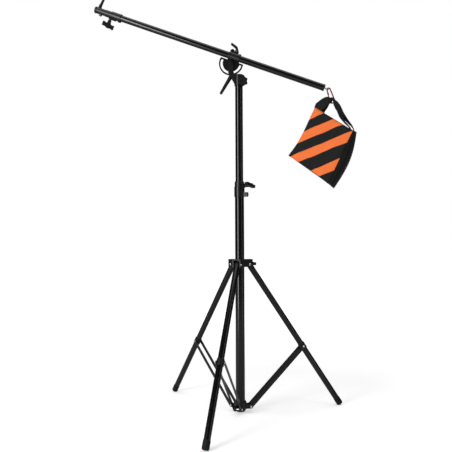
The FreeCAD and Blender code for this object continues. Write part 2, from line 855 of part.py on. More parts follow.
LEVER_X = 6
LEVER_Z = 54
LEVER_PIN_RADIUS = 2.5
SLEEVE_RIM = 7
PLUG_INSIDE = 18
PLUG_OUTSIDE = 7.5
KNOB_X = -577
BOOM_KNOB_ROLL = -40
TIP_LEVER_X = -641
TIP_SCREW_X = -627
TIP_SCREW_RADIUS = 3
TIP_ARM = 34
TIP_ARM_LEAN = 5
TIP_SOCKET = 14
SPIGOT_SOCKET = 24
SPIGOT_CLEARANCE = 0.3


def along_boom(radius, start, end):
    """A rod on the boom's axis."""
    return cylinder(radius, end - start, (start, 0, size.boom_offset), ALONG_X)


def boom_sleeve():
    """Clamp that the boom slides through, with a rib over the plate's tab and lever ears."""
    left = size.sleeve_left
    long = size.sleeve_right - size.sleeve_left
    radius = size.sleeve_od / 2
    solids = [
        along_boom(radius, left, size.sleeve_right),
        along_boom(radius + 1.2, left, size.sleeve_left + SLEEVE_RIM),
        along_boom(radius + 1.2, size.sleeve_right - SLEEVE_RIM, size.sleeve_right),
        block(long, 13, 10, (left, -6.5, 13.2)),
        cylinder(9, 18, (-11.5, -9, 49.5), ALONG_Y),
        block(18, 18, 12, (-20, -9, 40)),
        cylinder(7, 23, (LEVER_X, -11.5, LEVER_Z), ALONG_Y),
        block(14, 23, 14, (LEVER_X - 7, -11.5, LEVER_Z - 14)),
    ]
    holes = [
        along_boom(size.boom_tube_od / 2 + 0.05, left - 1, size.sleeve_right + 1),
        block(36.2, size.plate_thickness, 8, (-18.1, size.plate_thickness / -2, 9.1)),
        cylinder(8.5, 15, (LEVER_X, -7.5, LEVER_Z), ALONG_Y),
        block(17, 15, 20, (LEVER_X - 8.5, -7.5, LEVER_Z)),
        bore_across(LEVER_PIN_RADIUS, LEVER_X, LEVER_Z),
    ]
    return cut(fuse(*solids), *holes)


def sleeve_lever():
    """Cam lever with a bent arm."""
    arm = extruded(
        "sleeve_lever_arm",
        [
            (1, 51),
            (12, 53),
            (13.5, 58),
            (4, 72),
            (-2, 76),
            (-27, 83.5),
            (-30, 76.5),
            (-6, 67.5),
            (0, 60),
        ],
        13,
    )
    hub = cylinder(7.9, 14.4, (LEVER_X, -7.2, LEVER_Z), ALONG_Y)
    return cut(fuse(arm, hub), bore_across(LEVER_PIN_RADIUS + PIN_CLEARANCE, LEVER_X, LEVER_Z))


def lever_pin():
    shank = cylinder(LEVER_PIN_RADIUS, 25, (LEVER_X, -12.5, LEVER_Z), ALONG_Y)
    head = cylinder(4, 1.5, (LEVER_X, -14, LEVER_Z), ALONG_Y)
    return fuse(shank, head)


def boom_end_plug():
    end = size.boom_right_end
    wall = size.boom_tube_od / 2
    return fuse(
        along_boom(wall + 0.8, end, end + 6),
        along_boom(wall - 1, end + 6, end + PLUG_OUTSIDE),
        along_boom(size.boom_tube_bore / 2, end - PLUG_INSIDE, end),
    )


def eye_screw():
    """Ring across the boom's end on a short shank with a washer."""
    face = size.boom_right_end + PLUG_OUTSIDE
    centre = (size.eye_centre, 0, size.boom_offset)
    loop = ring(size.eye_ring_radius, size.eye_wire_radius, centre)
    shank = along_boom(2.6, face, size.eye_centre - size.eye_ring_radius)
    washer = along_boom(6, face, face + 1.2)
    return fuse(loop, shank, washer)


def boom_lock():
    """Clamp on the outer tube's left end: wide socket, narrow neck and the knob's boss."""
    left = size.boom_lock_left
    wall = size.boom_lock_od / 2
    solids = [
        along_boom(wall, left, size.boom_lock_right),
        along_boom(size.boom_neck_od / 2, size.boom_neck_left, left),
        cylinder(8.5, 19, (KNOB_X, 0, size.boom_offset), DOWN),
        block(26, 9, 20, (KNOB_X, -4.5, size.boom_offset - 20)),
        block(12, 14, 6, (size.boom_lock_right - 12, -7, size.boom_offset - wall - 2)),
    ]
    tube_end = size.boom_left_end
    holes = [
        along_boom(size.boom_tube_od / 2, tube_end, size.boom_lock_right + 1),
        along_boom(size.inner_tube_od / 2 + SLIDE_CLEARANCE, size.boom_neck_left - 1, tube_end),
        stem_bore((KNOB_X, 0, size.boom_offset), DOWN),
    ]
    return cut(fuse(*solids), *holes)


def tip_casting():
    """Cap on the inner tube's end that clamps the spigot, with the lever's boss on top."""
    left = size.tip_left
    wall = size.tip_od / 2
    right = size.boom_neck_left - 0.4
    solids = [
        along_boom(wall, left, right),
        cylinder(8, wall + 4, (TIP_LEVER_X, 0, size.boom_offset)),
        cylinder(7, wall + 1.5, (TIP_SCREW_X, 0, size.boom_offset), DOWN),
    ]
    holes = [
        along_boom(size.inner_tube_od / 2, right - TIP_SOCKET, right + 1),
        along_boom(size.spigot_radius + 0.05, left - 4, size.tip_left + SPIGOT_SOCKET),
        cylinder(TIP_SCREW_RADIUS + 0.2, THROUGH, (TIP_LEVER_X, 0, size.boom_offset)),
        cylinder(TIP_SCREW_RADIUS, THROUGH, (TIP_SCREW_X, 0, size.boom_offset), DOWN),
    ]
    return cut(fuse(*solids), *holes)


def tip_lever():
    """Ratchet lever: hub on the screw and a round arm leaning towards the boom."""
    base = size.tip_od / 2 + 4.3
    screw = cylinder(TIP_SCREW_RADIUS, 10, (0, 0, size.spigot_radius + STEM_GAP))
    hub = cylinder(7, 9, (0, 0, base))
    arm = cone(6.2, 5, TIP_ARM, (0, 0, base + 3), about_y(TIP_ARM_LEAN))
    lean = about_y(TIP_ARM_LEAN).multVec(FreeCAD.Vector(0, 0, TIP_ARM))
    tip = ball(5, (lean.x, 0, base + 3 + lean.z))
    return fuse(screw, hub, arm, tip)


def tip_screw():
    """Screw from below that keeps the spigot from turning."""
    face = size.tip_od / 2 + 1.5
    end = size.spigot_radius + SPIGOT_CLEARANCE
    head = cylinder(6.5, 4.5, (0, 0, face))
    shank = cylinder(TIP_SCREW_RADIUS, face - end, (0, 0, end))
    return fuse(head, shank)


def spigot():
    """Removable stud with a waisted neck, an end flange and a threaded hole in its face."""
    left = size.spigot_left
    neck = size.spigot_radius
    socket_end = size.tip_left + SPIGOT_SOCKET - 0.4
    return turned(
        "spigot_body",
        [
            (0, left * -1 - size.spigot_thread_depth),
            (size.spigot_thread_radius, left * -1 - size.spigot_thread_depth),
            (size.spigot_thread_radius, left * -1),
            (size.spigot_flange_radius - 1, left * -1),
            (size.spigot_flange_radius, left * -1 - 1),
            (size.spigot_flange_radius, left * -1 - 5),
            (size.spigot_flange_radius - 1, left * -1 - 6),
            (neck + 1.5, left * -1 - 6),
            (neck - 1.5, left * -1 - 7),
            (neck - 1.5, left * -1 - 11.5),
            (neck, left * -1 - 13),
            (neck, socket_end * -1),
            (0, socket_end * -1),
        ],
    )


def boom():
    node("boom_sleeve", boom_sleeve(), BOOM)
    node("sleeve_lever", sleeve_lever(), BOOM)
    node("sleeve_lever_pin", lever_pin(), BOOM)
    outer = cut(
        along_boom(size.boom_tube_od / 2, size.boom_left_end, size.boom_right_end),
        along_boom(size.boom_tube_bore / 2, size.boom_left_end, size.boom_right_end),
    )
    node("boom_outer_tube", outer, BOOM)
    node("boom_end_plug", boom_end_plug(), BOOM)
    node("eye_screw", eye_screw(), BOOM)
    node("boom_lock_collar", boom_lock(), BOOM)
    knob = frame_at(KNOB_X, 0, size.boom_offset, DOWN * about_z(BOOM_KNOB_ROLL))
    grip_start = size.inner_tube_od / 2 + STEM_GAP
    node("boom_lock_knob", t_knob("boom_lock", grip_start, size.boom_knob_reach), BOOM * knob)
    inner_left = size.boom_neck_left - 13.4
    inner = cut(
        along_boom(size.inner_tube_od / 2, inner_left, size.inner_tube_right_end),
        along_boom(size.inner_tube_bore / 2, inner_left, size.inner_tube_right_end),
    )
    node("boom_inner_tube", inner, BOOM)
    end = size.inner_tube_right_end
    bush = fuse(
        along_boom(size.boom_tube_bore / 2 - SLIDE_CLEARANCE, end, end + 8),
        along_boom(size.inner_tube_bore / 2, end - 20, end),
    )
    node("inner_bush", bush, BOOM)
    node("tip_casting", tip_casting(), BOOM)
    tip = frame_at(TIP_LEVER_X, 0, size.boom_offset)
    node("tip_lever", tip_lever(), BOOM * tip)
    screw = frame_at(TIP_SCREW_X, 0, size.boom_offset, DOWN)
    node("tip_screw", tip_screw(), BOOM * screw)
    outwards = frame_at(0, 0, size.boom_offset, about_y(-90))
    node("spigot", spigot(), BOOM * outwards)


# ---- hook and sandbag ---------------------------------------------------------------------


def hook_points():
    """Where the straight sides of the hook's pear-shaped loop meet its two round ends."""
    r1 = size.hook_top_radius.value
    r2 = size.hook_bottom_radius.value
    top = FreeCAD.Vector(0, 0, size.eye_wire_radius.value + size.hook_wire_radius.value + 0.3 - r1)
    low = FreeCAD.Vector(size.hook_skew.value, 0, -size.hook_bottom_drop.value)
    down = (low - top).normalize()
    left = FreeCAD.Vector(down.z, 0, -down.x)
    sine = (r2 - r1) / (low - top).Length
    cosine = math.sqrt(1 - sine * sine)
    points = {"top": top + FreeCAD.Vector(0, 0, r1), "low": low + FreeCAD.Vector(0, 0, -r2)}
    for name, side in (("left", left), ("right", left * -1)):
        out = side * cosine - down * sine
        points[name + "_top"] = top + out * r1
        points[name + "_low"] = low + out * r2
    return points


def swept(edges, radius):
    """A round bar along a run of edges."""
    path = Part.Wire(edges)
    start = edges[0].valueAt(edges[0].FirstParameter)
    ahead = edges[0].tangentAt(edges[0].FirstParameter)
    section = Part.Wire([Part.makeCircle(radius, start, ahead)])
    return path.makePipeShell([section], True, True)


def fixed_shape(label, shape):
    item = doc.addObject("Part::Feature", label)
    item.Shape = shape
    return item


GATE_LOW = 0.88
GATE_TOP = 0.2
GATE_RADIUS = 2.4
GATE_EYE_RADIUS = 2.9
GATE_EYE_HALF = 1.3
GATE_PIN_RADIUS = 1.2


def gate_ends():
    """The places on the hook's left side where the gate's hinge and its free end are."""
    points = hook_points()
    side = points["left_low"] - points["left_top"]
    return points["left_top"] + side * GATE_LOW, points["left_top"] + side * GATE_TOP


def hook_body():
    """Open pear-shaped loop of round bar; the gap on its left side is closed by the gate."""
    points = hook_points()
    hinge, nose = gate_ends()
    wire = size.hook_wire_radius.value
    edges = [
        Part.LineSegment(nose, points["left_top"]).toShape(),
        Part.Arc(points["left_top"], points["top"], points["right_top"]).toShape(),
        Part.LineSegment(points["right_top"], points["right_low"]).toShape(),
        Part.Arc(points["right_low"], points["low"], points["left_low"]).toShape(),
        Part.LineSegment(points["left_low"], hinge).toShape(),
    ]
    bar = swept(edges, wire)
    half = GATE_EYE_HALF + 0.2
    socket = Part.makeCylinder(GATE_EYE_RADIUS + 0.4, half * 2, hinge - Y_AXIS * half, Y_AXIS)
    pin = Part.makeCylinder(GATE_PIN_RADIUS, 20, hinge - Y_AXIS * 10, Y_AXIS)
    return fixed_shape("hook_body_shape", bar.cut(socket).cut(pin))


def hook_gate():
    """Sprung gate: round bar with an eye on the hinge pin."""
    hinge, nose = gate_ends()
    ahead = (nose - hinge).normalize()
    length = (nose - hinge).Length - 0.5
    bar = Part.makeCylinder(GATE_RADIUS, length, hinge, ahead)
    collar = Part.makeCylinder(GATE_RADIUS + 0.8, 9, hinge + ahead * (length - 10), ahead)
    half = GATE_EYE_HALF
    eye = Part.makeCylinder(GATE_EYE_RADIUS, half * 2, hinge - Y_AXIS * half, Y_AXIS)
    far_side = Part.makeBox(10, 10, 12, hinge + FreeCAD.Vector(-5, half, -6))
    near_side = Part.makeBox(10, 10, 12, hinge + FreeCAD.Vector(-5, -half - 10, -6))
    pin = Part.makeCylinder(GATE_PIN_RADIUS + PIN_CLEARANCE, 20, hinge - Y_AXIS * 10, Y_AXIS)
    solid = bar.cut(far_side).cut(near_side).fuse(collar).fuse(eye)
    return fixed_shape("hook_gate_shape", solid.cut(pin).removeSplitter())


def hook_pin():
    hinge = gate_ends()[0]
    half = size.hook_wire_radius.value
    pin = Part.makeCylinder(GATE_PIN_RADIUS, half * 2, hinge - Y_AXIS * half, Y_AXIS)
    return fixed_shape("hook_pin_shape", pin)


BAG_OUTLINE = (
    (-60, -17),
    (97, -127),
    (101, -142),
    (62, -240),
    (5, -360),
    (-182, -205),
    (-111, -114),
)
BUNCH_RADIUS = 5.5
HANDLE_STAND_OFF = 12


def sandbag():
    """Plain closed solid of the filled bag, hung by one end of its handle."""
    body = extruded("sandbag_fill", BAG_OUTLINE, size.bag_depth)
    doc.recompute()
    pad = body.Tip
    edges = [f"Edge{i + 1}" for i in range(len(pad.Shape.Edges))]
    rounding = body.newObject("PartDesign::Fillet", "sandbag_rounding")
    rounding.Base = (pad, edges)
    bind(rounding, Radius=size.bag_round)
    return body


def bunch_height():
    """Height of the gathered webbing's centre above the hook's lowest centreline."""
    return (size.hook_wire_radius + 0.4 + BUNCH_RADIUS).value


def webbing_run(start, end, width, front):
    """A flat run of webbing between two (x, z) places in the bag's plane."""
    run_x = end[0] - start[0]
    run_z = end[1] - start[1]
    long = math.hypot(run_x, run_z)
    turn = FreeCAD.Rotation(Y_AXIS, -math.degrees(math.atan2(run_z, run_x)))
    corner = turn.multVec(FreeCAD.Vector(0, 0, -width / 2))
    at = (start[0] + corner.x, front, start[1] + corner.z)
    return block(long, size.webbing_thickness, width, at, turn)


def sandbag_handle():
    """Webbing handle: one run in front of the hook, one behind, gathered through the hook."""
    height = bunch_height()
    thick = size.webbing_thickness.value
    reach = HANDLE_STAND_OFF + thick
    short_run = webbing_run((-54, -32), (3, height + 1), size.webbing_width.value, -reach)
    long_run = webbing_run((0, height), (80, -122), 24, HANDLE_STAND_OFF)
    gathered = cylinder(BUNCH_RADIUS, reach * 2, (0, -reach, height), ALONG_Y)
    return fuse(short_run, long_run, gathered)


def hook_and_bag():
    node("hook_body", hook_body(), HOOK)
    node("hook_gate", hook_gate(), HOOK)
    node("hook_pin", hook_pin(), HOOK)
    node("sandbag", sandbag(), BAG)
    node("sandbag_handle", sandbag_handle(), BAG)


# ---- the whole stand ----------------------------------------------------------------------

MAX_OFF_CENTRE = 0.5
FLOOR_TOLERANCE = 0.05


def check_and_write():
    doc.recompute()
    failed = [o.Name for o in doc.Objects if "Invalid" in o.State or "Error" in o.State]
    if failed:
        raise RuntimeError(f"failed objects: {failed}")
    whole = FreeCAD.BoundBox()
    os.makedirs("parts", exist_ok=True)
    for item in nodes:
        if item.Shape.isNull() or not item.Shape.isValid() or item.Shape.Volume <= 0:
            raise RuntimeError(f"bad shape: {item.Label}")
        whole.add(item.Shape.optimalBoundingBox(False))
    for name, offset in (("x", whole.Center.x), ("y", whole.Center.y)):
        if abs(offset) > MAX_OFF_CENTRE:
            raise RuntimeError(f"the stand is {offset:.2f} mm off centre in {name}")
    for azimuth in LEGS.values():
        flat = FOOT_ROUND - floor_touch(azimuth).z
        if abs(flat - size.foot_flat_depth.value) > FLOOR_TOLERANCE:
            raise RuntimeError(f"a foot's rounded edge is cut {flat:.3f} mm deep by the floor")
    if abs(whole.ZMin) > FLOOR_TOLERANCE:
        raise RuntimeError(f"the stand's lowest point is at z = {whole.ZMin:.3f}")
    for item in nodes:
        item.Shape.exportStep(f"parts/{item.Label}.step")
    print(f"{len(nodes)} sub-parts, {whole.XLength:.1f} x {whole.YLength:.1f} x {whole.ZLength:.1f}")


column()
tripod()
head()
boom()
hook_and_bag()
check_and_write()
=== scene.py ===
import json
import math

import bmesh
import bpy
import numpy as np
from mathutils import Matrix, Vector, noise


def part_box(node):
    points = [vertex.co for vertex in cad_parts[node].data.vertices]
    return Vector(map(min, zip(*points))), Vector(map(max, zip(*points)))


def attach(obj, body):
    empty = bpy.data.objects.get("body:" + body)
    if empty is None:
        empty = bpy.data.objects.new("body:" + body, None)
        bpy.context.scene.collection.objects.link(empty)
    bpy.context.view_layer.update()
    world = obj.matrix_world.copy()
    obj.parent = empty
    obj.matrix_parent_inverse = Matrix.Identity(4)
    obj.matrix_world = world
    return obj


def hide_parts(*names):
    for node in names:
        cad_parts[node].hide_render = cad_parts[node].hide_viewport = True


# Looks of the two-way boom stand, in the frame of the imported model: metres, +Z up, z = 0 the
# floor.  The bag is drawn in millimetres in a frame of its own: u to the right, v up, and a
# third direction, called away, that runs from the camera's side to the back.

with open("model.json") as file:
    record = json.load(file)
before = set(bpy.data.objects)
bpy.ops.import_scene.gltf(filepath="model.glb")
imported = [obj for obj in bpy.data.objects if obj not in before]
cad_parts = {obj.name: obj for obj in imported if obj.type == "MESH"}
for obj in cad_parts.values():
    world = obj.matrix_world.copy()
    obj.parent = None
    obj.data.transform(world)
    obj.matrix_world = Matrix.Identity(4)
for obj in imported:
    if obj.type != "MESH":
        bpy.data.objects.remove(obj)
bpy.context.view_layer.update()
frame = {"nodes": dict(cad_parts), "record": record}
RECORD = frame["record"]
JOINTS = {joint["name"]: joint for joint in RECORD["behaviour"]["joints"]}
NODES = frame["nodes"]
MM = 0.001
MICRON = 0.000001
UPRIGHT = Vector((0, 0, 1))


def joint_place(name):
    """Where a joint is at rest."""
    return Vector(JOINTS[name]["pos_m"])


def joint_axis(name):
    """Unit vector along a joint's axis."""
    return Vector(JOINTS[name]["axis"]).normalized()


COLUMN = joint_place("column_lock_turn")
COLUMN.z = 0


# ---- camera -------------------------------------------------------------------------------

# Distances are in metres, PITCH, YAW and ROLL in radians, LENS and SENSOR in millimetres.

CAMERA_BACK = 2.245
CAMERA_HEIGHT = 0.6853
CAMERA_TURN = math.radians(4.6)
PITCH = 0.0408
YAW = -0.0256
ROLL = -0.0039
LENS = 42.31
SENSOR = 36
CLIP_END = 60


def make_camera():
    """Camera in front of the stand, turned a little about the column's axis."""
    turn = Matrix.Rotation(CAMERA_TURN, 3, "Z")
    ahead = turn @ Vector(
        (math.sin(YAW) * math.cos(PITCH), math.cos(YAW) * math.cos(PITCH), math.sin(PITCH))
    )
    right = turn @ Vector((math.cos(YAW), -math.sin(YAW), 0))
    up = right.cross(ahead)
    rolled_right = right * math.cos(ROLL) + up * math.sin(ROLL)
    rolled_up = up * math.cos(ROLL) - right * math.sin(ROLL)
    place = COLUMN + turn @ Vector((0, -CAMERA_BACK, CAMERA_HEIGHT))
    data = bpy.data.cameras.new("camera")
    data.lens = LENS
    data.sensor_width = SENSOR
    data.clip_end = CLIP_END
    camera = bpy.data.objects.new("camera", data)
    bpy.context.scene.collection.objects.link(camera)
    basis = Matrix((rolled_right, rolled_up, -ahead)).transposed().to_4x4()
    camera.matrix_world = Matrix.Translation(place) @ basis
    bpy.context.scene.camera = camera


# ---- materials ----------------------------------------------------------------------------


class Shader:
    """A material's nodes, with short calls for the kinds used here."""

    FLAT = 0.985
    SHARP = 0.86

    def __init__(self, name):
        self.material = bpy.data.materials.new(name)
        self.material.use_nodes = True
        self.tree = self.material.node_tree
        self.surface = self.tree.nodes["Principled BSDF"]
        self.place = self.add("ShaderNodeTexCoord").outputs["Object"]

    def add(self, kind, **settings):
        node = self.tree.nodes.new(kind)
        for key, value in settings.items():
            setattr(node, key, value)
        return node

    def feed(self, socket, value):
        if isinstance(value, bpy.types.NodeSocket):
            self.tree.links.new(value, socket)
        else:
            socket.default_value = value

    def set(self, **values):
        """Inputs of the surface; underscores in the names stand for spaces."""
        for key, value in values.items():
            self.feed(self.surface.inputs[key.replace("_", " ")], value)

    def math(self, operation, *values):
        node = self.add("ShaderNodeMath", operation=operation)
        for socket, value in zip(node.inputs, values):
            self.feed(socket, value)
        return node.outputs[0]

    def vector(self, operation, first, second, out=0):
        node = self.add("ShaderNodeVectorMath", operation=operation)
        self.feed(node.inputs[0], first)
        self.feed(node.inputs[1], second)
        return node.outputs[out]

    def noise(self, scale, detail=3.0, roughness=0.55, at=None):
        node = self.add("ShaderNodeTexNoise")
        self.feed(node.inputs["Vector"], at or self.place)
        self.feed(node.inputs["Scale"], scale)
        self.feed(node.inputs["Detail"], detail)
        self.feed(node.inputs["Roughness"], roughness)
        return node.outputs["Fac"]

    def remap(self, value, low, high, to_low=0.0, to_high=1.0):
        node = self.add("ShaderNodeMapRange")
        for socket, number in zip(node.inputs, (value, low, high, to_low, to_high)):
            self.feed(socket, number)
        return node.outputs["Result"]

    def mix(self, factor, first, second):
        node = self.add("ShaderNodeMix", data_type="RGBA")
        self.feed(node.inputs["Factor"], factor)
        self.feed(node.inputs["A"], first)
        self.feed(node.inputs["B"], second)
        return node.outputs["Result"]

    def bump(self, height, distance, strength=1.0, under=None):
        node = self.add("ShaderNodeBump")
        self.feed(node.inputs["Height"], height)
        self.feed(node.inputs["Distance"], distance)
        self.feed(node.inputs["Strength"], strength)
        if under is not None:
            self.feed(node.inputs["Normal"], under)
        return node.outputs["Normal"]

    def edges(self, radius):
        """1 on convex and concave edges, 0 on open surfaces.

        FLAT and SHARP are cosines of how far the rounded normal turns from the real one.
        """
        bevel = self.add("ShaderNodeBevel", samples=4)
        self.feed(bevel.inputs["Radius"], radius)
        normal = self.add("ShaderNodeNewGeometry").outputs["Normal"]
        facing = self.vector("DOT_PRODUCT", bevel.outputs["Normal"], normal, out=1)
        return self.remap(facing, self.FLAT, self.SHARP)

    def along(self, axis, stretch):
        """Object coordinates stretched along an axis.

        A noise on them becomes lines along the axis below 1 and rings round it above 1.
        """
        turned = self.add("ShaderNodeMapping")
        self.feed(turned.inputs["Vector"], self.place)
        self.feed(turned.inputs["Rotation"], axis.rotation_difference(UPRIGHT).to_euler())
        return self.vector("MULTIPLY", turned.outputs["Vector"], (1, 1, stretch))


def rgb(red, green, blue):
    return (red, green, blue, 1.0)


def gloss_tube(name, axis):
    """Glossy black tube: faint lines along it, smudges in the gloss, a few pale scuffs."""
    s = Shader(name)
    lines = s.noise(900, 2, at=s.along(axis, 0.012))
    smudges = s.noise(14, 5, 0.6)
    scuffs = s.remap(s.noise(260, 6, 0.7, at=s.along(axis, 0.3)), 0.7, 0.76)
    scuffs = s.math("MULTIPLY", scuffs, s.remap(s.noise(9, 2), 0.52, 0.66))
    paint = s.mix(smudges, rgb(0.0016, 0.0016, 0.0018), rgb(0.0035, 0.0035, 0.0038))
    s.set(
        Base_Color=s.mix(scuffs, paint, rgb(0.03, 0.03, 0.031)),
        Roughness=s.math(
            "ADD", s.remap(smudges, 0.3, 0.75, 0.12, 0.2), s.math("MULTIPLY", scuffs, 0.25)
        ),
        Normal=s.bump(lines, 3 * MICRON, 0.12, s.bump(s.noise(60, 2), 20 * MICRON, 0.1)),
        Specular_IOR_Level=0.3,
        Coat_Weight=0.1,
        Coat_Roughness=0.05,
    )
    return s.material


def cast_black(name, tone=0.005, rough=0.36, peel=40 * MICRON, wear=0.4):
    """Powder-coated casting or plate: orange peel with a painted highlight on its peaks, rubbed
    edges.
    """
    s = Shader(name)
    patches = s.noise(22, 5, 0.62)
    grain = s.noise(1300, 4, 0.6)
    worn = s.math("MULTIPLY", s.edges(0.7 * MM), s.remap(s.noise(190, 5, 0.7), 0.45, 0.62))
    worn = s.math("MULTIPLY", worn, wear)
    paint = s.mix(patches, rgb(tone * 0.6, tone * 0.6, tone * 0.64), rgb(tone, tone, tone * 1.07))
    # Painted highlight: where the orange-peel grain rises highest, the paint is lighter.
    paint = s.mix(s.remap(grain, 0.62, 0.8, 0, 0.3), paint, rgb(0.02, 0.02, 0.021))
    s.set(
        Base_Color=s.mix(worn, paint, rgb(0.09, 0.09, 0.093)),
        Roughness=s.remap(patches, 0.3, 0.7, rough - 0.07, rough + 0.07),
        Normal=s.bump(grain, peel, 0.8, s.bump(s.noise(330, 3), peel * 2, 0.5)),
        Specular_IOR_Level=0.3,
        Coat_Weight=0.1,
        Coat_Roughness=0.2,
    )
    return s.material


def moulded(name):
    """Moulded nylon: spark-eroded texture, polished where hands touch it, pale rubbed edges."""
    s = Shader(name)
    spark = s.noise(2200, 3, 0.55)
    touched = s.remap(s.noise(38, 4, 0.5), 0.42, 0.66)
    rubbed = s.remap(s.noise(150, 5, 0.7), 0.5, 0.66, 0, 0.5)
    rubbed = s.math("MULTIPLY", s.edges(0.9 * MM), rubbed)
    plastic = s.mix(touched, rgb(0.005, 0.005, 0.005), rgb(0.0085, 0.0085, 0.00875))
    s.set(
        Base_Color=s.mix(rubbed, plastic, rgb(0.035, 0.035, 0.036)),
        Roughness=s.remap(touched, 0, 1, 0.5, 0.32),
        Normal=s.bump(spark, 40 * MICRON, 0.6),
        Specular_IOR_Level=0.3,
    )
    return s.material


def turning_lines(s, axis):
    """Fine grooves round an axis, as a lathe leaves them."""
    return s.noise(900, 2, at=s.along(axis, 18.0))


def flanged_stud(name, edge_at, axis):
    """Plated stud whose end flange is painted black: the paint stops where the neck begins."""
    s = Shader(name)
    along = s.vector("DOT_PRODUCT", s.place, tuple(axis), out=1)
    painted = s.remap(along, edge_at - 0.1 * MM, edge_at + 0.1 * MM)
    clouds = s.noise(70, 5, 0.6)
    chips = s.math("MULTIPLY", s.edges(0.6 * MM), s.remap(s.noise(240, 5, 0.7), 0.55, 0.65))
    painted = s.math("MULTIPLY", painted, s.math("SUBTRACT", 1.0, s.math("MULTIPLY", chips, 0.6)))
    plating = s.mix(s.remap(clouds, 0.5, 0.75, 0, 0.3), rgb(0.72, 0.72, 0.73), rgb(0.3, 0.3, 0.3))
    s.set(
        Base_Color=s.mix(painted, plating, rgb(0.004, 0.004, 0.004)),
        Metallic=s.math("SUBTRACT", 1.0, painted),
        Roughness=s.remap(clouds, 0.3, 0.7, 0.2, 0.32),
        Normal=s.bump(turning_lines(s, axis), 20 * MICRON, 0.4),
        Specular_IOR_Level=0.35,
    )
    return s.material


def rubber(name):
    """Black rubber: fine bloom, dusty patches, small pits."""
    s = Shader(name)
    bloom = s.noise(60, 6, 0.65)
    pits = s.noise(1500, 3, 0.6)
    s.set(
        Base_Color=s.mix(
            s.remap(bloom, 0.45, 0.75), rgb(0.004, 0.004, 0.004), rgb(0.012, 0.0118, 0.0115)
        ),
        Roughness=s.remap(bloom, 0.3, 0.7, 0.62, 0.86),
        Normal=s.bump(pits, 80 * MICRON, 0.8),
        Specular_IOR_Level=0.25,
    )
    return s.material


def metal(name, colour, rough, axis=None, dirt=0.35):
    """Bare or plated metal with cloudy tarnish: turning lines round an axis, or a fine grain."""
    s = Shader(name)
    grain = turning_lines(s, axis) if axis else s.noise(900, 2)
    clouds = s.noise(70, 5, 0.6)
    tarnish = s.math("MULTIPLY", s.remap(clouds, 0.5, 0.75), dirt)
    dark = tuple(c * 0.35 for c in colour)
    s.set(
        Base_Color=s.mix(tarnish, rgb(*colour), rgb(*dark)),
        Roughness=s.remap(clouds, 0.3, 0.7, rough - 0.05, rough + 0.1),
        Normal=s.bump(grain, 30 * MICRON, 0.5),
        Metallic=1.0,
    )
    return s.material


WEAVE = 0.85 * MM
STRIPE_TILT = math.radians(18.5)
STRIPE_EDGES = ((-50, 32), (72, 109.5), (149.5, 187), (239.5, 276))
STRIPE_WAVE = 12 * MM
STRIPE_BLUR = 0.3 * MM
STITCH_INSET = 2.2 * MM
STITCH_HALF_WIDTH = 0.6 * MM
STITCH_PITCH = 3.2 * MM
RIB_PITCH = 2.1 * MM
WEFT_PITCH = 1.1 * MM


def rest_axes(s):
    """The flat cloth's coordinates in metres, as stored on its points, and the two apart."""
    rest = s.add("ShaderNodeAttribute", attribute_name="rest").outputs["Vector"]
    split = s.add("ShaderNodeSeparateXYZ")
    s.feed(split.inputs[0], rest)
    return rest, split.outputs["X"], split.outputs["Y"]


def threads_along(s, place, pitch):
    """Heights of round threads that repeat at a pitch."""
    return s.math("ABSOLUTE", s.math("SINE", s.math("MULTIPLY", place, math.pi / pitch)))


def weave_height(s, x, y, pitch):
    """Plain weave: two sets of round threads that pass over each other in turn."""
    column = s.math("FLOOR", s.math("DIVIDE", x, pitch))
    row = s.math("FLOOR", s.math("DIVIDE", y, pitch))
    over = s.math("ABSOLUTE", s.math("MODULO", s.math("ADD", column, row), 2.0))
    warp = s.math("MULTIPLY", threads_along(s, x, pitch), over)
    weft = s.math("MULTIPLY", threads_along(s, y, pitch), s.math("SUBTRACT", 1.0, over))
    return s.math("ADD", warp, weft)


def stripe_masks(s, rest, x, y):
    """Where the orange stripes are, the furrow of their seams, and the stitches in it."""
    sine, cosine = math.sin(STRIPE_TILT), math.cos(STRIPE_TILT)
    run = s.math("SUBTRACT", s.math("MULTIPLY", x, sine), s.math("MULTIPLY", y, cosine))
    wave = s.math("SUBTRACT", s.noise(9, 1, at=rest), 0.5)
    run = s.math("ADD", run, s.math("MULTIPLY", wave, STRIPE_WAVE))
    across = s.math("ADD", s.math("MULTIPLY", x, cosine), s.math("MULTIPLY", y, sine))
    inside = None
    seam = None
    for low, high in STRIPE_EDGES:
        middle = (low + high) / 2 * MM
        half = (high - low) / 2 * MM
        off = s.math("ABSOLUTE", s.math("SUBTRACT", run, middle))
        band = s.remap(off, half + STRIPE_BLUR, half - STRIPE_BLUR)
        line = s.math("ABSOLUTE", s.math("SUBTRACT", off, half - STITCH_INSET))
        line = s.remap(line, STITCH_HALF_WIDTH, STITCH_HALF_WIDTH / 2)
        inside = band if inside is None else s.math("MAXIMUM", inside, band)
        seam = line if seam is None else s.math("MAXIMUM", seam, line)
    dashes = s.math("SINE", s.math("MULTIPLY", across, 2 * math.pi / STITCH_PITCH))
    dashes = s.remap(dashes, -0.5, -0.3)
    stitch = s.math("MULTIPLY", s.math("MULTIPLY", seam, dashes), inside)
    return inside, seam, stitch


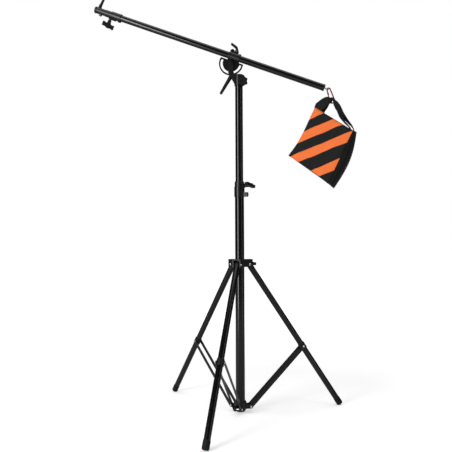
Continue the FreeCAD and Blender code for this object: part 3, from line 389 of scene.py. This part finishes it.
def bag_cloth(name, striped):
    """Woven nylon, black, with diagonal orange stripes sewn on where asked; the raised thread
    crowns carry a painted highlight.
    """
    s = Shader(name)
    rest, x, y = rest_axes(s)
    threads = weave_height(s, x, y, WEAVE)
    uneven = s.noise(18, 5, 0.6, at=rest)
    fuzz = s.noise(900, 3, 0.6, at=rest)
    colour = s.mix(uneven, rgb(0.0035, 0.004, 0.0042), rgb(0.0075, 0.0082, 0.0085))
    # Painted highlight: the raised thread crowns are lighter and the dips between them darker.
    colour = s.mix(s.math("MULTIPLY", threads, 0.35), colour, rgb(0.018, 0.0187, 0.019))
    height = threads
    if striped:
        inside, seam, stitch = stripe_masks(s, rest, x, y)
        orange = s.mix(uneven, rgb(0.8, 0.135, 0.026), rgb(0.9, 0.19, 0.042))
        # Painted highlight on the orange: its raised thread crowns are lighter.
        orange = s.mix(s.math("MULTIPLY", threads, 0.3), orange, rgb(0.95, 0.27, 0.085))
        colour = s.mix(inside, colour, orange)
        colour = s.mix(s.math("MULTIPLY", stitch, 0.75), colour, rgb(0.45, 0.09, 0.02))
        height = s.math("ADD", height, s.math("MULTIPLY", inside, 2.2))
        height = s.math("SUBTRACT", height, s.math("MULTIPLY", seam, 1.6))
        height = s.math("ADD", height, s.math("MULTIPLY", stitch, 1.4))
    s.set(
        Base_Color=colour,
        Roughness=s.remap(fuzz, 0.3, 0.7, 0.72, 0.9),
        Normal=s.bump(height, 160 * MICRON, 0.8, s.bump(fuzz, 100 * MICRON, 0.4)),
        Sheen_Weight=0.08,
        Sheen_Roughness=0.4,
        Specular_IOR_Level=0.2,
    )
    return s.material


def webbing(name):
    """Black nylon webbing: ribs along its length crossed by a fine weft, with a painted highlight
    on their raised tops.
    """
    s = Shader(name)
    rest, x, y = rest_axes(s)
    ribs = s.math("MULTIPLY", threads_along(s, x, RIB_PITCH), 1.3)
    weft = s.math("MULTIPLY", threads_along(s, y, WEFT_PITCH), 0.7)
    height = s.math("ADD", ribs, weft)
    fuzz = s.noise(700, 4, 0.65, at=rest)
    uneven = s.noise(40, 4, 0.6, at=rest)
    black = s.mix(uneven, rgb(0.0018, 0.0018, 0.002), rgb(0.004, 0.004, 0.0043))
    # Painted highlight: the raised ribs and weft are lighter, the grooves between them darker.
    s.set(
        Base_Color=s.mix(s.math("MULTIPLY", height, 0.22), black, rgb(0.009, 0.009, 0.0096)),
        Roughness=s.remap(fuzz, 0.3, 0.7, 0.6, 0.82),
        Normal=s.bump(height, 220 * MICRON, 0.8, s.bump(fuzz, 120 * MICRON, 0.5)),
        Sheen_Weight=0.05,
        Specular_IOR_Level=0.2,
    )
    return s.material


def dress(node, material):
    """Give a CAD node or a piece one material on all its faces."""
    data = NODES[node].data if isinstance(node, str) else node.data
    data.materials.clear()
    data.materials.append(material)


# ---- meshes -------------------------------------------------------------------------------


def add_object(name, mesh):
    """A new object with this mesh, in the scene."""
    piece = bpy.data.objects.new(name, mesh)
    bpy.context.scene.collection.objects.link(piece)
    return piece


def smooth(piece, angle=None):
    """Smooth shading, except across edges that turn by more than the angle."""
    for face in piece.data.polygons:
        face.use_smooth = True
    if angle is not None:
        edges = bmesh.new()
        edges.from_mesh(piece.data)
        for edge in edges.edges:
            if len(edge.link_faces) == 2 and edge.calc_face_angle() > angle:
                edge.smooth = False
        edges.to_mesh(piece.data)
        edges.free()


def apply_modifiers(piece):
    """Make a piece's modifiers part of its mesh."""
    graph = bpy.context.evaluated_depsgraph_get()
    done = bpy.data.meshes.new_from_object(
        piece.evaluated_get(graph), preserve_all_data_layers=True, depsgraph=graph
    )
    piece.modifiers.clear()
    piece.data = done


def loft(name, rings, closed=False, rest=None):
    """A skin over rings of the same count of points; open lofts get flat end caps."""
    mesh = bpy.data.meshes.new(name)
    count = len(rings[0])
    points = [point for ring in rings for point in ring]
    faces = []
    spans = len(rings) if closed else len(rings) - 1
    for i in range(spans):
        a = i * count
        b = (i + 1) % len(rings) * count
        for j in range(count):
            k = (j + 1) % count
            faces.append((a + j, a + k, b + k, b + j))
    if not closed:
        faces.append(tuple(reversed(range(count))))
        faces.append(tuple(range(len(points) - count, len(points))))
    mesh.from_pydata(points, [], faces)
    if rest is not None:
        store_rest(mesh, rest)
    mesh.update()
    return add_object(name, mesh)


def store_rest(mesh, values):
    """Keep the flat cloth's coordinates on the points, for the weave and the stripes."""
    layer = mesh.attributes.new("rest", "FLOAT_VECTOR", "POINT")
    layer.data.foreach_set("vector", np.array(values, dtype=np.float32).ravel())


def catmull(points, steps):
    """Smooth run through a list of number arrays, with the ends held."""
    padded = [2 * points[0] - points[1], *points, 2 * points[-1] - points[-2]]
    run = []
    for a, b, c, d in zip(padded, padded[1:], padded[2:], padded[3:]):
        slope = c - a
        bend = 2 * a - 5 * b + 4 * c - d
        twist = 3 * b - a - 3 * c + d
        for i in range(steps):
            t = i / steps
            run.append(0.5 * (2 * b + slope * t + bend * t * t + twist * t ** 3))
    run.append(points[-1])
    return run


# ---- sandbag ------------------------------------------------------------------------------

# The origin of the bag's frame lies near the hook's wire, a bunch's rise under the swing joint.

BAG_YAW = math.radians(-20)
BUNCH_RISE = 9.15 * MM
BAG_ORIGIN = joint_place("bag_swing") - Vector((0, 0, BUNCH_RISE))
BAG = Matrix.Translation(BAG_ORIGIN) @ Matrix.Rotation(BAG_YAW, 4, "Z")

PANEL_COLUMNS = 36
PANEL_ROWS = 42
GUSSET_LAYERS = 6
TOP_LEFT = Vector((-68, -16))
TOP_RIGHT = Vector((87, -128))
BOTTOM_LEFT = Vector((-183, -211))
BOTTOM_RIGHT = Vector((-14, -337))
LEFT_HOLLOW = 12
RIGHT_HOLLOW = 2
BOTTOM_HOLLOW = 3
INNER_GAP = 3.0
TOP_DEPTH = 20
FULL_DEPTH = 33
GUSSET_WIDTH = 40


def in_bag(u, away, v):
    """A place in the bag's frame, given in millimetres."""
    return BAG @ Vector((u * MM, away * MM, v * MM))


def panel_point(s, t):
    """A place on a pouch's flat panel, s along its top edge and t down its left edge."""
    top = TOP_LEFT.lerp(TOP_RIGHT, s)
    bottom = BOTTOM_LEFT.lerp(BOTTOM_RIGHT, s)
    place = top.lerp(bottom, t)
    hollow = LEFT_HOLLOW * (1 - s) + RIGHT_HOLLOW * s
    place.x += hollow * math.sin(math.pi * t ** 1.4)
    place.y += BOTTOM_HOLLOW * math.sin(math.pi * s) * t
    return place


def lean_back(s, t):
    """How far the back pouch's panel has slipped to the right and down past the front one."""
    near_right = s ** 3
    return near_right * (7 + 17 * math.sin(math.pi * t)), near_right * t * -17


def pouch_depth(t):
    """How far a pouch's outer panel stands from the bag's middle plane."""
    fullness = math.sin(math.pi / 2 * min(1.0, t * 1.5))
    return TOP_DEPTH + (FULL_DEPTH - TOP_DEPTH) * fullness


def lattice(side):
    """Points, flat coordinates and faces of one pouch's closed box, and each point's number.

    The side is -1 in front and +1 behind.
    """
    columns, rows, layers = PANEL_COLUMNS, PANEL_ROWS, GUSSET_LAYERS
    index = {}
    places = []
    rests = []
    for k in range(layers + 1):
        for j in range(rows + 1):
            for i in range(columns + 1):
                if i in (0, columns) or j in (0, rows) or k in (0, layers):
                    s, t, w = i / columns, j / rows, k / layers
                    flat = panel_point(s, t)
                    outer = pouch_depth(t)
                    away = side * (outer + (INNER_GAP - outer) * w)
                    share = 0.5 * w if side < 0 else 1 - 0.5 * w
                    slip, drop = lean_back(s, t)
                    index[i, j, k] = len(places)
                    places.append(in_bag(flat.x + slip * share, away, flat.y + drop * share))
                    rests.append((flat.x * MM, (flat.y + GUSSET_WIDTH * w) * MM, 0))
    faces = []

    def add_face(*corners):
        faces.append([index[corner] for corner in corners])

    for i in range(columns):
        for j in range(rows):
            for k in (0, layers):
                add_face((i, j, k), (i + 1, j, k), (i + 1, j + 1, k), (i, j + 1, k))
    for k in range(layers):
        for i in range(columns):
            for j in (0, rows):
                add_face((i, j, k), (i + 1, j, k), (i + 1, j, k + 1), (i, j, k + 1))
        for j in range(rows):
            for i in (0, columns):
                add_face((i, j, k), (i, j + 1, k), (i, j + 1, k + 1), (i, j, k + 1))
    return index, places, rests, faces


CLOTH_FRAMES = 20
SWELL_CAP = 14 * MM


def inflate(piece, pins):
    """Fill a closed cloth shape by the solver, holding some points and capping the rest."""
    before = [vertex.co.copy() for vertex in piece.data.vertices]
    group = piece.vertex_groups.new(name="pins")
    group.add(pins, 1.0, "REPLACE")
    cloth = piece.modifiers.new("cloth", "CLOTH")
    settings = cloth.settings
    settings.quality = 6
    settings.mass = 0.3
    settings.tension_stiffness = 25
    settings.compression_stiffness = 10
    settings.shear_stiffness = 8
    settings.bending_stiffness = 0.6
    settings.use_pressure = True
    settings.uniform_pressure_force = 4
    settings.effector_weights.gravity = 0
    settings.vertex_group_mass = "pins"
    cloth.collision_settings.use_collision = False
    cloth.point_cache.frame_start = 1
    cloth.point_cache.frame_end = CLOTH_FRAMES
    for number in range(1, CLOTH_FRAMES + 1):
        bpy.context.scene.frame_set(number)
    apply_modifiers(piece)
    bpy.context.scene.frame_set(1)
    for vertex, start in zip(piece.data.vertices, before):
        move = vertex.co - start
        if move.length > SWELL_CAP:
            vertex.co = start + move * (SWELL_CAP / move.length)


def pouch(label, side):
    """One filled pouch, with its panel striped and its gusset black."""
    index, places, rests, faces = lattice(side)
    mesh = bpy.data.meshes.new(label)
    mesh.from_pydata(places, [], faces)
    store_rest(mesh, rests)
    skin = bmesh.new()
    skin.from_mesh(mesh)
    bmesh.ops.recalc_face_normals(skin, faces=skin.faces)
    skin.to_mesh(mesh)
    skin.free()
    piece = add_object(label, mesh)
    corners = [
        number
        for (i, j, k), number in index.items()
        if i in (0, PANEL_COLUMNS) and j in (0, PANEL_ROWS) and k in (0, GUSSET_LAYERS)
    ]
    inflate(piece, corners)
    crease_folds(piece, index, side)
    dress(piece, MATERIALS["bag_striped"])
    piece.data.materials.append(MATERIALS["bag_plain"])
    panel = {number for (i, j, k), number in index.items() if k == 0}
    for face in piece.data.polygons:
        face.material_index = 0 if panel.issuperset(face.vertices) else 1
    rim = [(i, 0) for i in range(PANEL_COLUMNS)]
    rim += [(PANEL_COLUMNS, j) for j in range(PANEL_ROWS)]
    rim += [(i, PANEL_ROWS) for i in range(PANEL_COLUMNS, 0, -1)]
    rim += [(0, j) for j in range(PANEL_ROWS, 0, -1)]
    edge = [piece.data.vertices[index[i, j, 0]].co.copy() for i, j in rim]
    edge_rests = [rests[index[i, j, 0]] for i, j in rim]
    piece.modifiers.new("finer", "SUBSURF").levels = 1
    apply_modifiers(piece)
    smooth(piece)
    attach(piece, "bag")
    return piece, edge, edge_rests


FOLD_DEPTH = 1.5 * MM
LUMP_DEPTH = 1.6 * MM
WRINKLE_DEPTH = 0.8 * MM


def crease_folds(piece, index, side):
    """Long soft folds from the two hung corners, sand lumps lower down, wrinkles near the top."""
    outward = BAG.to_3x3() @ Vector((0, side, 0))
    for (i, j, k), number in index.items():
        if k != 0:
            continue
        s, t = i / PANEL_COLUMNS, j / PANEL_ROWS
        edge = min(s, 1 - s, t, 1 - t)
        hold = min(1.0, edge * 8)
        from_left = math.atan2(t, s + 0.02)
        from_right = math.atan2(t, 1.02 - s)
        folds = math.sin(from_left * 17 + side) * math.exp(-3.0 * math.hypot(s, t))
        folds += math.sin(from_right * 15) * math.exp(-3.0 * math.hypot(1 - s, t))
        lumps = noise.noise(Vector((s * 5, t * 5, side * 3))) * (0.4 + t)
        wrinkles = noise.noise(Vector((s * 16, t * 5, 7))) * math.exp(-3.2 * t)
        depth = FOLD_DEPTH * folds + LUMP_DEPTH * lumps + WRINKLE_DEPTH * wrinkles
        piece.data.vertices[number].co += outward * (depth * hold)


BINDING_RADIUS = 1.1 * MM
BINDING_FLATNESS = 1.35
BINDING_SIDES = 8


def piping(label, loop, edge_rests, material):
    """Bound edge along a closed loop of points, in the cloth of the panel beside it."""
    count = len(loop)
    rings = []
    rests = []
    for i, point in enumerate(loop):
        ahead = (loop[(i + 1) % count] - loop[i - 1]).normalized()
        side = ahead.cross(BAG.to_3x3() @ Vector((0, 1, 0))).normalized()
        up = side.cross(ahead)
        ring = []
        for j in range(BINDING_SIDES):
            angle = j * 2 * math.pi / BINDING_SIDES
            spoke = side * math.cos(angle) * BINDING_FLATNESS + up * math.sin(angle)
            ring.append(point + spoke * BINDING_RADIUS)
            rests.append(edge_rests[i])
        rings.append(ring)
    piece = loft(label, rings, closed=True, rest=rests)
    smooth(piece)
    dress(piece, material)
    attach(piece, "bag")


RIBBON_THICKNESS = 1.7
RIBBON_HALF_WIDTH = 19
RIBBON_POINTS = 14
SELVEDGE_SHARE = 0.1
SELVEDGE_THINNING = 0.35
SADDLE_HALF_WIDTH = 21
SADDLE_SPANS = 8


def ribbon(label, stations, steps=8):
    """Webbing through stations of (u, away, v), half-width vector (u, away, v) and fold depth.

    The fold bends the band's cross-section into soft pleats; all sizes are in millimetres.
    """
    run = catmull([np.array(station, dtype=float) for station in stations], steps)
    rings = []
    rests = []
    travelled = 0.0
    for i, station in enumerate(run):
        centre, across, fold = station[:3], station[3:6], station[6]
        nearby = run[max(i - 1, 0)], run[min(i + 1, len(run) - 1)]
        ahead = nearby[1][:3] - nearby[0][:3]
        ahead /= np.linalg.norm(ahead)
        face = np.cross(across, ahead)
        face /= np.linalg.norm(face)
        if i:
            travelled += np.linalg.norm(centre - run[i - 1][:3])
        ring = []
        for side in (1, -1):
            order = range(RIBBON_POINTS) if side > 0 else reversed(range(RIBBON_POINTS))
            for j in order:
                w = 2 * j / (RIBBON_POINTS - 1) - 1
                pleat = math.cos(w * math.pi * 1.5) * fold
                selvedge = max(0.0, abs(w) - (1 - SELVEDGE_SHARE)) / SELVEDGE_SHARE
                thickness = RIBBON_THICKNESS * (1 - SELVEDGE_THINNING * selvedge)
                lift = pleat + side * thickness / 2
                ring.append(in_bag(*(centre + across * w + face * lift)))
                rests.append((w * RIBBON_HALF_WIDTH * MM, travelled * MM, side * MM))
        rings.append(ring)
    piece = loft(label, rings, rest=rests)
    smooth(piece, math.radians(50))
    dress(piece, MATERIALS["webbing"])
    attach(piece, "bag")
    return piece


def make_bag():
    """Two pouches back to back, joined along the top and hung by their handles."""
    pieces = []
    for label, side in (("bag_pouch_front", -1), ("bag_pouch_back", 1)):
        piece, edge, edge_rests = pouch(label, side)
        pieces.append(piece)
        binding = MATERIALS["bag_striped" if side < 0 else "bag_plain"]
        piping(f"{label}_binding", edge, edge_rests, binding)
    for piece in pieces:
        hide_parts("sandbag")
    saddle()
    handles()


def saddle():
    """Black strip that joins the two pouches along the top edge."""
    stations = []
    for i in range(SADDLE_SPANS + 1):
        s = i / SADDLE_SPANS
        place = TOP_LEFT.lerp(TOP_RIGHT, s)
        lift = 1.5 * math.sin(math.pi * s) - 2.5
        stations.append((place.x, 0, place.y + lift, 0, SADDLE_HALF_WIDTH, 0, 0.6))
    ribbon("bag_saddle", stations, steps=4)


def handles():
    """The two pouches' webbing handles: flat on the left, gathered in the hook, then twisted."""
    front = ribbon(
        "bag_handle_front",
        [
            (-55, -13, -38, 15, 0, -8, 0.2),
            (-58, -15, -22.5, 15, 0, -7, 0.3),
            (-52, -16, -11.5, 15, 0, -13, 0.4),
            (-43, -16, -6, 12.5, 1, -15.5, 0.4),
            (-33.5, -16, 1, 10.5, 1, -16, 0.5),
            (-24, -14, 7.5, 8.5, 2, -15.5, 0.7),
            (-15, -11.5, 11.5, 7, 2, -15, 1.0),
            (-7, -8, 13, 5.5, 3, -13, 1.5),
            (-1.5, -2.5, 16.5, 3.5, 1, -5, 2.2),
            (3, 2.5, 16, 4, 0, -2.5, 2.2),
            (6.5, 7, 5, 1, 2, -12, 2.2),
            (13, 9, -7, -5, 2, -12, 1.6),
            (22.5, 9, -21, -7.5, 2, -10, 1.4),
            (29, 9, -37, -8.5, 2, -8, 1.2),
            (35, 7, -54, -8.5, 4, -6, 1.0),
            (42, 3, -71, -4, 10, -5, 0.7),
            (53, -4, -88, -2.5, 14, -3, 0.5),
            (67, -10, -104, -2, 15, -2, 0.4),
            (79, -13, -120, -2, 15, -2, 0.3),
        ],
    )
    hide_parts("sandbag_handle")
    ribbon(
        "bag_handle_back",
        [
            (-50, 14, -40, 14, 0, -8, 0.2),
            (-53, 16, -25, 14, 0, -8, 0.3),
            (-46, 17, -12, 12, -1, -12, 0.4),
            (-34, 16, -1, 8, -2, -14, 0.6),
            (-21, 13, 10, 5, -3, -11, 1.0),
            (-10, 7, 19, 3, -2, -6, 1.8),
            (-3, 1, 22.5, 4, 0, -2.5, 2.0),
            (3, -5, 15, 2.5, -1, -9, 2.0),
            (8, -8, 3, -1, 2, -13, 1.7),
            (18, -9, -9, -6, 3, -11, 1.5),
            (27, -8, -22, -7.5, 3, -10, 1.4),
            (34.5, -5, -37, -7.5, 3, -8, 1.2),
            (42, 0, -53, -7, 5, -6, 1.0),
            (52, 7, -68, -5, 10, -6, 0.7),
            (64, 13, -85, -3.5, 14, -4.5, 0.5),
            (77, 16, -102, -2.5, 15, -3, 0.4),
            (86, 17, -121, -2, 15, -3, 0.3),
        ],
    )


# ---- dressing the CAD nodes ---------------------------------------------------------------

FLANGE_THICKNESS = 6 * MM


def leg_axis(side):
    """Direction down a leg, from its pivot to its foot's middle."""
    low, high = (Vector(c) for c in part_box(f"foot_{side}"))
    foot = (low + high) / 2
    return (foot - joint_place(f"leg_{side}_fold")).normalized()


BOOM_AXIS = joint_axis("boom_slide")
MATERIALS = {
    "column_tube": gloss_tube("column_tube", UPRIGHT),
    "boom_tube": gloss_tube("boom_tube", BOOM_AXIS),
    "casting": cast_black("casting"),
    "plate": cast_black("plate", tone=0.004, rough=0.3, peel=20 * MICRON),
    "bolt": cast_black("bolt", tone=0.006, rough=0.28, peel=10 * MICRON, wear=0.6),
    "plastic": moulded("plastic"),
    "rubber": rubber("rubber"),
    "nickel": metal("nickel", (0.78, 0.78, 0.79), 0.2, axis=UPRIGHT),
    "steel": metal("steel", (0.62, 0.62, 0.63), 0.25, axis=BOOM_AXIS),
    "brass": metal("brass", (0.62, 0.5, 0.27), 0.3),
    "maroon": metal("maroon", (0.2, 0.014, 0.035), 0.22, dirt=0.2),
    "bag_striped": bag_cloth("bag_striped", striped=True),
    "bag_plain": bag_cloth("bag_plain", striped=False),
    "webbing": webbing("webbing"),
}
SLOT_MATERIALS = {
    "black_casting": "casting",
    "black_plate": "plate",
    "black_plastic": "plastic",
    "black_rubber": "rubber",
    "plated_steel": "nickel",
    "black_steel": "bolt",
    "brass": "brass",
    "maroon_anodised": "maroon",
    "bag_orange": "bag_striped",
    "bag_black": "webbing",
}


def tube_material(node):
    """Glossy black whose lines run along that tube."""
    if node.startswith("leg_tube"):
        side = node.rsplit("_", 1)[1]
        return gloss_tube(f"leg_gloss_{side}", leg_axis(side))
    return MATERIALS["boom_tube" if node.startswith("boom") else "column_tube"]


def dress_nodes():
    """A material for each CAD node by its slot, then the eye screw and spigot by themselves."""
    for part in RECORD["subparts"]:
        node, slot = part["node"], part["material_slot"]
        if slot == "black_tube":
            dress(node, tube_material(node))
        else:
            dress(node, MATERIALS[SLOT_MATERIALS[slot]])
    dress("eye_screw", MATERIALS["steel"])

    # The painted flange is the spigot's end, where its threaded hole opens.
    outward = joint_axis("spigot_pull")
    thread = next(mount for mount in RECORD["mounts"] if mount["name"] == "spigot_thread")
    thread_middle = Vector(thread["pos_m"]).dot(outward)
    mouth = thread_middle + thread["dims"]["length_mm"] * MM / 2
    dress("spigot", flanged_stud("spigot_finish", mouth - FLANGE_THICKNESS, outward))


# ---- stage --------------------------------------------------------------------------------


def area_light(name, place, target, size, power):
    """A rectangular soft light of a size in metres and a power in watts, aimed at a target."""
    data = bpy.data.lights.new(name, "AREA")
    data.shape = "RECTANGLE"
    data.size, data.size_y = size
    data.energy = power
    light = bpy.data.objects.new(name, data)
    light.location = place
    light.rotation_euler = (Vector(target) - Vector(place)).to_track_quat("-Z", "Y").to_euler()
    bpy.context.scene.collection.objects.link(light)


FLOOR_HALF = 60
SWEEP_START = 0.9
SWEEP_END = 3.0
SWEEP_GLOW = (0.5, 1.0)
GLOW_ON_STAND = 0.12
WORLD_ON_STAND = 0.06


def make_floor():
    """Pale floor that brightens into the white backdrop away from the stand.

    It glows fully as seen and only a little on the stand, so that black stays black.
    """
    s = Shader("floor")
    away = s.vector("LENGTH", s.place, (0, 0, 0), out=1)
    glow = s.remap(away, SWEEP_START, SWEEP_END, *SWEEP_GLOW)
    seen = s.add("ShaderNodeLightPath").outputs["Is Camera Ray"]
    s.set(
        Base_Color=s.mix(s.noise(3, 3), rgb(0.8, 0.8, 0.8), rgb(0.83, 0.83, 0.83)),
        Roughness=0.8,
        Specular_IOR_Level=0.1,
        Emission_Color=rgb(1, 1, 1),
        Emission_Strength=s.math("MULTIPLY", glow, s.remap(seen, 0, 1, GLOW_ON_STAND, 1)),
    )
    mesh = bpy.data.meshes.new("floor")
    corners = ((-1, -1), (1, -1), (1, 1), (-1, 1))
    mesh.from_pydata([(x * FLOOR_HALF, y * FLOOR_HALF, 0) for x, y in corners], [], [range(4)])
    floor = add_object("floor", mesh)
    dress(floor, s.material)


def make_world():
    """White backdrop seen behind the stand, with dim light all round so that black stays black."""
    world = bpy.data.worlds.new("studio")
    world.use_nodes = True
    nodes = world.node_tree.nodes
    links = world.node_tree.links
    seen = nodes["Background"]
    around = nodes.new("ShaderNodeBackground")
    for background, strength in ((seen, 1.0), (around, WORLD_ON_STAND)):
        background.inputs["Color"].default_value = rgb(1, 1, 1)
        background.inputs["Strength"].default_value = strength
    choice = nodes.new("ShaderNodeMixShader")
    links.new(nodes.new("ShaderNodeLightPath").outputs["Is Camera Ray"], choice.inputs["Fac"])
    links.new(around.outputs[0], choice.inputs[1])
    links.new(seen.outputs[0], choice.inputs[2])
    links.new(choice.outputs[0], nodes["World Output"].inputs["Surface"])
    bpy.context.scene.world = world
    bpy.context.scene.view_settings.view_transform = "Standard"


def make_lights():
    """A tall soft box in front on the left, a weak strip on the right and a panel above."""
    area_light("key_box", (-2.1, -2.7, 1.3), (0, 0, 1.0), (1.1, 2.6), 105)
    area_light("right_strip", (2.3, -1.0, 1.2), (0, 0, 0.9), (0.2, 2.6), 8)
    area_light("top_box", (0, 0, 4.2), (0, 0, 0), (4, 4), 95)


make_camera()
dress_nodes()
make_bag()
make_floor()
make_world()
make_lights()
